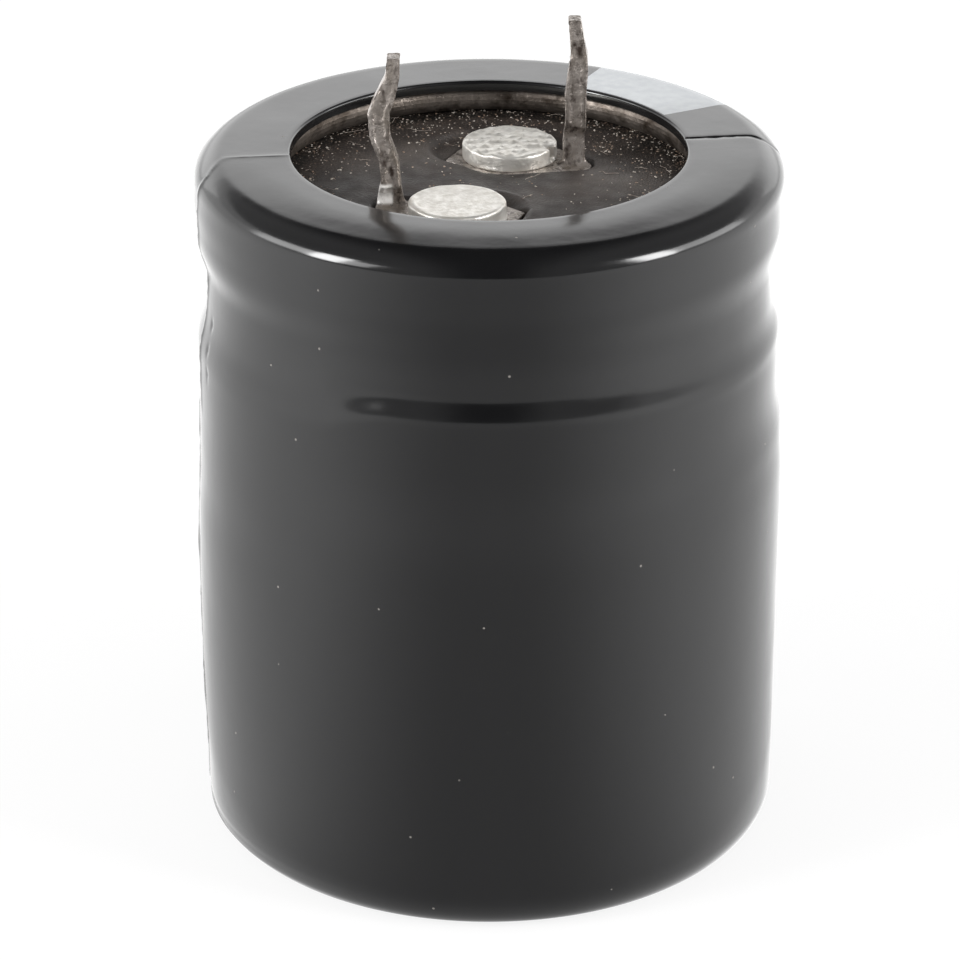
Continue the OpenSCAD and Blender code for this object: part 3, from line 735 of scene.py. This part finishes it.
# Small lumps scattered by the dust mask
def speckTree():
    tree, given = startTree("scatter specks", [
        ("Per square mm", "NodeSocketFloat", 5.0), ("Smallest", "NodeSocketFloat", 0.01),
        ("Largest", "NodeSocketFloat", 0.04), ("Seed", "NodeSocketInt", 1)])
    spots = dustySpots(tree, given)
    lump = addNode(tree, "GeometryNodeMeshIcoSphere", {"Radius": 1.0, "Subdivisions": 1})
    size = addNode(tree, "FunctionNodeRandomValue", {
        2: given["Smallest"], 3: given["Largest"], "Seed": given["Seed"]}, data_type="FLOAT")
    squash = addNode(tree, "FunctionNodeRandomValue", {
        0: (0.6, 0.6, 0.35), 1: (1.6, 1.2, 0.8), "Seed": given["Seed"]}, data_type="FLOAT_VECTOR")
    scale = addNode(tree, "ShaderNodeVectorMath", {0: squash, "Scale": size}, operation="SCALE")
    turn = addNode(tree, "FunctionNodeRandomValue", {
        0: (-0.3, -0.3, 0.0), 1: (0.3, 0.3, 6.28), "Seed": given["Seed"]}, data_type="FLOAT_VECTOR")
    placed = addNode(tree, "GeometryNodeInstanceOnPoints", {
        "Points": spots, "Instance": lump, "Scale": scale, "Rotation": turn})
    return endTree(tree, placed, given)


# Short bent fibres lying on the surface
def fibreTree():
    tree, given = startTree("scatter fibres", [
        ("Per square mm", "NodeSocketFloat", 0.1), ("Length", "NodeSocketFloat", 0.8),
        ("Thickness", "NodeSocketFloat", 0.012), ("Seed", "NodeSocketInt", 1)])
    spots = dustySpots(tree, given)
    strand = addNode(tree, "GeometryNodeCurvePrimitiveLine", {
        "Start": (-0.5, 0, 0.03), "End": (0.5, 0, 0.06)})
    fine = addNode(tree, "GeometryNodeResampleCurve", {"Curve": strand, "Count": 9})
    turn = addNode(tree, "FunctionNodeRandomValue", {
        0: (-0.15, -0.15, 0.0), 1: (0.15, 0.15, 6.28), "Seed": given["Seed"]}, data_type="FLOAT_VECTOR")
    size = addNode(tree, "FunctionNodeRandomValue", {
        2: 0.3, 3: given["Length"], "Seed": given["Seed"]}, data_type="FLOAT")
    placed = addNode(tree, "GeometryNodeInstanceOnPoints", {
        "Points": spots, "Instance": fine, "Rotation": turn, "Scale": size})
    real = addNode(tree, "GeometryNodeRealizeInstances", {0: placed})
    cloud = addNode(tree, "ShaderNodeTexNoise", {"Scale": 2.2, "Detail": 1.0}).outputs["Color"]
    sway = addNode(tree, "ShaderNodeVectorMath", {0: cloud, 1: (-0.5, -0.5, -0.5)}, operation="ADD")
    bend = addNode(tree, "ShaderNodeVectorMath", {0: sway, 1: (1.0, 1.0, 0.12)}, operation="MULTIPLY")
    bent = addNode(tree, "GeometryNodeSetPosition", {"Geometry": real, "Offset": bend})
    ring = addNode(tree, "GeometryNodeCurvePrimitiveCircle", {"Radius": given["Thickness"], "Resolution": 5})
    tube = addNode(tree, "GeometryNodeCurveToMesh", {"Curve": bent, "Profile Curve": ring, "Fill Caps": True})
    return endTree(tree, tube, given)


rubberDraft = makeRubber()
print("stage: deck facing made")

dustPieces = {
    "deck_grit": (speckTree(), paleDust, {
        "Per square mm": 22.0, "Smallest": 0.012, "Largest": 0.06, "Seed": 3}),
    "deck_fluff": (fibreTree(), fluff, {
        "Per square mm": 0.6, "Length": 1.0, "Thickness": 0.011, "Seed": 8}),
}
for name, (tree, material, settings) in dustPieces.items():
    finishPiece(grow(tree, rubberDraft.data.copy(), name, dict(settings, Material=material)), material)
finishPiece(rubberDraft, rubber, ("deck_rubber",), sharp=60)
print("stage: dust scattered")


rivetShape = {
    "headRadius": {"negative": 2.05, "positive": 2.04},
    "headShift": {"negative": 0.0, "positive": -0.08},   # the head is pressed off its shank, along X
    "headBottom": 29.30,
    "edgeRadius": 0.16,
    "shankRadius": 1.2,
    "tailRadius": 1.8,
    "tailHeight": 0.6,
    "dentWidth": 0.45,
    "dentDepth": 0.3,
    "knurlPitch": 0.52,
    "knurlDepth": 0.11,
    "steps": 160,
}


# Presses a crumpled waffle into the head's top, as the riveting tool does
def knurlTree():
    tree, given = startTree("press the head", [
        ("Pitch", "NodeSocketFloat", 0.5), ("Depth", "NodeSocketFloat", 0.05),
        ("Top", "NodeSocketFloat", 30.0)])
    place = addNode(tree, "GeometryNodeInputPosition")
    cloud = addNode(tree, "ShaderNodeTexNoise", {
        "Vector": place, "Scale": 1.6, "Detail": 2.0}).outputs["Color"]
    sway = addNode(tree, "ShaderNodeVectorMath", {0: cloud, "Scale": 0.28}, operation="SCALE")
    warped = addNode(tree, "ShaderNodeVectorMath", {0: place, 1: sway}, operation="ADD")
    scaled = addNode(tree, "ShaderNodeMath", {0: 1.0, 1: given["Pitch"]}, operation="DIVIDE")
    cells = addNode(tree, "ShaderNodeTexVoronoi", {
        "Vector": warped, "Scale": scaled, "Randomness": 0.7}, voronoi_dimensions="2D", feature="SMOOTH_F1")
    dip = addNode(tree, "ShaderNodeMath", {0: cells, 1: -1.4}, operation="MULTIPLY")
    deep = addNode(tree, "ShaderNodeMath", {0: dip, 1: given["Depth"]}, operation="MULTIPLY")
    height = addNode(tree, "ShaderNodeSeparateXYZ", {0: place}).outputs["Z"]
    under = addNode(tree, "ShaderNodeMath", {0: given["Top"], 1: 0.12}, operation="SUBTRACT")
    onTop = addNode(tree, "ShaderNodeMapRange", {
        "Value": height, "From Min": under, "From Max": given["Top"]})
    amount = addNode(tree, "ShaderNodeMath", {0: deep, 1: onTop}, operation="MULTIPLY")
    offset = addNode(tree, "ShaderNodeCombineXYZ", {"Z": amount})
    pressed = addNode(tree, "GeometryNodeSetPosition", {"Geometry": given["Geometry"], "Offset": offset})
    return endTree(tree, pressed, given)


def makeRivet(side):
    low, high = nodeBox(side + "_rivet")
    bottom, top = low[2], high[2]
    s = rivetShape
    head, edge, foot = s["headRadius"][side], s["edgeRadius"], s["headBottom"]
    tailTop = bottom + s["tailHeight"]
    path = joined(
        straight((0, bottom), (s["tailRadius"] - 0.1, bottom), 4),
        arc((s["tailRadius"] - 0.1, bottom + 0.1), 0.1, -90, 0, 3),
        straight((s["tailRadius"], bottom + 0.1), (s["tailRadius"], tailTop), 2),
        straight((s["tailRadius"], tailTop), (s["shankRadius"], tailTop), 2),
        straight((s["shankRadius"], tailTop), (s["shankRadius"], foot), 4),
        straight((s["shankRadius"], foot), (head - 0.05, foot), 3),
        arc((head - 0.05, foot + 0.05), 0.05, -90, 0, 2),
        straight((head, foot + 0.05), (head, top - edge), 8),
        arc((head - edge, top - edge), edge, 0, 90, 5),
        straight((head - edge, top), (0, top), 34))
    draft = turnProfile(side + "_rivet_head", path, s["steps"], rivetMetal)
    flat = getSpots(draft)
    r = np.hypot(*flat[:, :2].T)
    around = np.degrees(np.arctan2(flat[:, 1], flat[:, 0]))
    radial = flat[:, :2] / np.maximum(r, 1e-6)[:, None]
    onHead = ease(foot + 0.02, foot + 0.2, flat[:, 2])
    uneven = 0.045 * lumps(flat, 0.8, 11 if side == "negative" else 12) + 0.012 * lumps(flat, 0.3, 13)
    flat[:, :2] += radial * (uneven * onHead * ease(0.6, 1.0, r / head))[:, None]
    flat[:, 0] += s["headShift"][side] * onHead
    if side == "negative":
        # The notch that the tool left, on the pin's side
        away = np.radians((around - deck["footTurn"][side] + 180) % 360 - 180) * r
        notch = np.exp(-(away / (s["dentWidth"] / 2)) ** 4) * ease(head - 0.75, head, r) * onHead
        flat[:, :2] -= radial * (s["dentDepth"] * notch)[:, None]
        flat[:, 2] -= 0.12 * notch * (flat[:, 2] > top - 0.1)
    else:
        # A low ridge on the left edge, and a slightly dished top
        away = (around - 175 + 180) % 360 - 180
        ridge = np.exp(-(away / 40) ** 4) * bellCurve(r, head - 0.22, 0.1)
        flat[:, 2] += (0.05 * ridge - 0.03 * (1 - (r / head) ** 2) - 0.02) * (flat[:, 2] > top - 0.05)
        flat[:, 2] += 0.012 * lumps(flat, 0.7, 14) * (flat[:, 2] > top - 0.12)
    flat[:, :2] += rivetCentre(side)
    setSpots(draft, flat)
    if side == "negative":
        plain = draft
        draft = grow(knurlTree(), plain.data, "negative_rivet_pressed", {
            "Pitch": s["knurlPitch"], "Depth": s["knurlDepth"], "Top": float(top), "Material": rivetMetal})
        bpy.data.objects.remove(plain)
    return finishPiece(draft, rivetMetal, (side + "_rivet",), sharp=50)


for side in sides:
    makeRivet(side)
print("stage: rivets made")


terminalLook = {
    "voxel": 0.05,
    "closing": 0.235,       # grown and shrunk by this, the fold keeps only a shallow groove
    "softening": 0.6,
    "rounds": 8,
    "dents": 0.05,
    "dentSize": 0.9,
    # The positive pin gets a painted highlight between two heights, to the left of an edge
    "highlightFrom": 29.35,
    "highlightTo": 30.35,
    "highlightEdge": -4.1,
    "highlightFade": 0.15,
}


# A copy of the folded sheet with its edges rounded off, as a tumbled and tinned stamping has
def makeTerminal(side):
    look = terminalLook
    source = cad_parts[side + "_terminal"]
    draft = newObject(side + "_pin", source.data.copy())
    draft.data.transform(Matrix.Scale(1 / mm, 4))
    clean(draft)
    for step, reach in enumerate((look["closing"], -look["closing"])):
        remesh = draft.modifiers.new(f"even{step}", "REMESH")
        remesh.mode = "VOXEL"
        remesh.voxel_size = look["voxel"]
        grown = draft.modifiers.new(f"grow{step}", "DISPLACE")
        grown.mid_level = 0
        grown.strength = reach
    soften = draft.modifiers.new("soften", "SMOOTH")
    soften.factor = look["softening"]
    soften.iterations = look["rounds"]
    bake(draft)
    spots = getSpots(draft)
    facing = np.array([v.normal for v in draft.data.vertices])
    above = ease(29.5, 30.5, spots[:, 2])
    dents = look["dents"] * lumps(spots * (1, 1, 0.6), look["dentSize"], 21) * above
    dents += 0.02 * lumps(spots, 0.35, 22) * above
    setSpots(draft, spots + facing * dents[:, None])
    # Painted highlight on the positive pin's base, near white in the material
    start, stop, edge = look["highlightFrom"], look["highlightTo"], look["highlightEdge"]
    paintedHighlight = ease(start, start + look["highlightFade"], spots[:, 2])
    paintedHighlight *= ease(stop + look["highlightFade"], stop, spots[:, 2])
    paintedHighlight *= ease(edge + 0.1, edge, spots[:, 0])
    mask = draft.data.attributes.new("paintedHighlight", "FLOAT", "POINT")
    mask.data.foreach_set("value", (paintedHighlight * (side == "positive")).astype(np.float32))
    return finishPiece(draft, tin, (side + "_terminal",), sharp=60)


for side in sides:
    makeTerminal(side)
print("stage: terminals made")


cadLooks = {
    "can": canMetal,
    "base_disc": pressedFibre(),
    "deck_board": phenolicLaminate(),
    "positive_washer": rivetMetal,
    "negative_washer": rivetMetal,
    "positive_lead_strip": rivetMetal,
    "negative_lead_strip": rivetMetal,
    "wound_element": woundFoil(),
    "closing_tape": polyesterTape(),
}
for name, material in cadLooks.items():
    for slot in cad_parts[name].material_slots:
        slot.material = material
print("stage: CAD nodes dressed")


studio = {
    "floorHalf": 3000,          # millimetres
    "floorWhite": "#eeeeee",
    "floorPlain": (0.8, 1.0),   # share of the floor that shows as plain white, near and far
    "floorRange": (60, 250),    # from near to far
    "floorGlow": 1.04,
    # The floor as gloss shows it, with painted shade in front: how bright in front, how much more at the
    # sides and behind, and the bearings between which it changes
    "mirrored": (0.45, 0.74, 0.4),
    "mirroredTurns": ((8, 75), (105, 165)),
    # The same by distance, the brighter of two, for a painted shadow round the object and painted light at
    # its foot: from and to in millimetres, brightness at both
    "mirroredRings": ((15, 100, 0.88, 1.2), (12.8, 15.5, 1.45, 0.88)),
    "ambient": 0.65,
    # The room as gloss shows it, by direction: coordinate, from, to, brightness at both, kind of step
    "room": {
        "behind": ("Y", -0.5, 0.15, 0, 1, "SMOOTHSTEP"),
        "low": ("Z", 0.485, 0.54, 1, 0, "LINEAR"),
        "fading": ("Z", 0.32, 0.39, 1.25, 0.8, "LINEAR"),
        "walls": ("X", 0.1, 0.45, 0.02, 0.37, "SMOOTHSTEP"),
    },
    # Lamps: bearing and height in degrees, distance and size in millimetres
    "lamps": {
        "backLamp": {"bearing": 180, "rise": 20, "far": 560, "wide": 1000, "high": 230, "watts": 0.6},
        "leftLamp": {"bearing": -64, "rise": 24, "far": 500, "wide": 120, "high": 260, "watts": 1.35},
        "rightLamp": {"bearing": 66, "rise": 24, "far": 500, "wide": 120, "high": 260, "watts": 1.35},
        "leftPanel": {"bearing": -72, "rise": 24, "far": 520, "wide": 500, "high": 200, "watts": 1.3},
        "rightPanel": {"bearing": 83, "rise": 24, "far": 520, "wide": 500, "high": 200, "watts": 1.0},
    },
}


# Pale matt floor: plain white to the camera, with the object's soft shadow left in it
def makeFloor():
    half = studio["floorHalf"] * mm
    mesh = bpy.data.meshes.new("floor")
    corners = [(-half, -half, 0), (half, -half, 0), (half, half, 0), (-half, half, 0)]
    mesh.from_pydata(corners, [], [(0, 1, 2, 3)])
    floor = newObject("floor", mesh)
    material = bpy.data.materials.new("Matt white floor")
    material.use_nodes = True
    tree = material.node_tree
    tree.nodes.clear()
    path = addNode(tree, "ShaderNodeLightPath").outputs
    matt = addNode(tree, "ShaderNodeBsdfDiffuse", {"Color": studio["floorWhite"]})
    plain = addNode(tree, "ShaderNodeEmission", {"Strength": studio["floorGlow"]})
    place = addNode(tree, "ShaderNodeTexCoord").outputs["Object"]
    far = addNode(tree, "ShaderNodeVectorMath", {0: place}, operation="LENGTH")
    (start, end), (close, distant) = studio["floorRange"], studio["floorPlain"]
    even = addNode(tree, "ShaderNodeMapRange", {
        "Value": far, "From Min": start * mm, "From Max": end * mm, "To Min": close, "To Max": distant})
    share = addNode(tree, "ShaderNodeMath", {0: path["Is Camera Ray"], 1: even}, operation="MULTIPLY")
    seen = addNode(tree, "ShaderNodeMixShader", {0: share, 1: matt, 2: plain})
    # What gloss shows of it: painted shade in front, a painted shadow round the object and painted light
    # right at its foot
    split = addNode(tree, "ShaderNodeSeparateXYZ", {0: place}).outputs
    ahead = addNode(tree, "ShaderNodeMath", {0: split["Y"], 1: -1.0}, operation="MULTIPLY")
    turn = addNode(tree, "ShaderNodeMath", {0: split["X"], 1: ahead}, operation="ARCTAN2")
    turn = addNode(tree, "ShaderNodeMath", {0: turn}, operation="ABSOLUTE")
    front, more, most = studio["mirrored"]
    glow = front
    for (start, end), rise in zip(studio["mirroredTurns"], (more, most)):
        step = addNode(tree, "ShaderNodeMapRange", {
            "Value": turn, "From Min": math.radians(start), "From Max": math.radians(end), "To Max": rise},
            interpolation_type="SMOOTHSTEP")
        glow = addNode(tree, "ShaderNodeMath", {0: step, 1: glow}, operation="ADD")
    rings = [addNode(tree, "ShaderNodeMapRange", {
        "Value": far, "From Min": start * mm, "From Max": end * mm, "To Min": first, "To Max": last})
        for start, end, first, last in studio["mirroredRings"]]
    ring = addNode(tree, "ShaderNodeMath", {0: rings[0], 1: rings[1]}, operation="MAXIMUM")
    strength = addNode(tree, "ShaderNodeMath", {0: glow, 1: ring}, operation="MULTIPLY")
    mirrored = addNode(tree, "ShaderNodeEmission", {"Strength": strength})
    seen = addNode(tree, "ShaderNodeMixShader", {0: path["Is Glossy Ray"], 1: seen, 2: mirrored})
    # From below the floor can be looked through
    behind = addNode(tree, "ShaderNodeNewGeometry").outputs["Backfacing"]
    through = addNode(tree, "ShaderNodeMath", {0: behind, 1: path["Is Camera Ray"]}, operation="MULTIPLY")
    clear = addNode(tree, "ShaderNodeBsdfTransparent")
    both = addNode(tree, "ShaderNodeMixShader", {0: through, 1: seen, 2: clear})
    addNode(tree, "ShaderNodeOutputMaterial", {"Surface": both})
    mesh.materials.append(material)


def makeLamp(name, bearing, rise, far, wide, high, watts):
    data = bpy.data.lights.new(name, "AREA")
    data.shape = "RECTANGLE"
    data.size, data.size_y = wide * mm, high * mm
    data.energy = watts
    lamp = newObject(name, data)
    bearing, rise = math.radians(bearing), math.radians(rise)
    way = Vector((math.sin(bearing) * math.cos(rise), -math.cos(bearing) * math.cos(rise), math.sin(rise)))
    lamp.location = way * far * mm
    lamp.rotation_euler = way.to_track_quat("Z", "Y").to_euler()
    lamp.visible_camera = False


# White to the camera, dim to the object, with a pale low backdrop behind for what is glossy
def makeWorld():
    world = bpy.data.worlds.new("studio")
    bpy.context.scene.world = world
    world.use_nodes = True
    tree = world.node_tree
    tree.nodes.clear()
    path = addNode(tree, "ShaderNodeLightPath").outputs
    way = addNode(tree, "ShaderNodeTexCoord").outputs["Generated"]
    split = addNode(tree, "ShaderNodeSeparateXYZ", {0: way}).outputs
    seen = {}
    for name, (axis, start, end, first, last, step) in studio["room"].items():
        value = split[axis]
        if name == "walls":
            value = addNode(tree, "ShaderNodeMath", {0: value}, operation="ABSOLUTE")
        seen[name] = addNode(tree, "ShaderNodeMapRange", {
            "Value": value, "From Min": start, "From Max": end, "To Min": first, "To Max": last},
            interpolation_type=step)
    backdrop = addNode(tree, "ShaderNodeMath", {0: seen["behind"], 1: seen["low"]}, operation="MULTIPLY")
    backdrop = addNode(tree, "ShaderNodeMath", {
        0: backdrop, 1: seen["fading"], 2: seen["walls"]}, operation="MULTIPLY_ADD")
    glossy = addNode(tree, "ShaderNodeBackground", {"Strength": backdrop})
    soft = addNode(tree, "ShaderNodeBackground", {"Strength": studio["ambient"]})
    white = addNode(tree, "ShaderNodeBackground", {"Strength": 1.0})
    lit = addNode(tree, "ShaderNodeMixShader", {0: path["Is Glossy Ray"], 1: soft, 2: glossy})
    shown = addNode(tree, "ShaderNodeMixShader", {0: path["Is Camera Ray"], 1: lit, 2: white})
    addNode(tree, "ShaderNodeOutputWorld", {"Surface": shown})


view = {
    "distance": 180,
    "elevation": 24.77,
    "focalPixels": 4085,
    "imageWidth": 960,
    "sensor": 36,
    "aimHeight": 15.525,
    "aimSide": -0.375,
}


def makeCamera():
    rise = math.radians(view["elevation"])
    data = bpy.data.cameras.new("camera")
    data.sensor_width = view["sensor"]
    data.lens = view["focalPixels"] * view["sensor"] / view["imageWidth"]
    data.clip_start, data.clip_end = 0.01, 20
    camera = newObject("camera", data)
    camera.location = (
        view["aimSide"] * mm, -view["distance"] * math.cos(rise) * mm,
        (view["aimHeight"] + view["distance"] * math.sin(rise)) * mm)
    camera.rotation_euler = (math.pi / 2 - rise, 0, 0)
    bpy.context.scene.camera = camera


makeFloor()
for name, settings in studio["lamps"].items():
    makeLamp(name, **settings)
makeWorld()
makeCamera()
bpy.context.scene.view_settings.view_transform = "Standard"
print("stage: studio set")
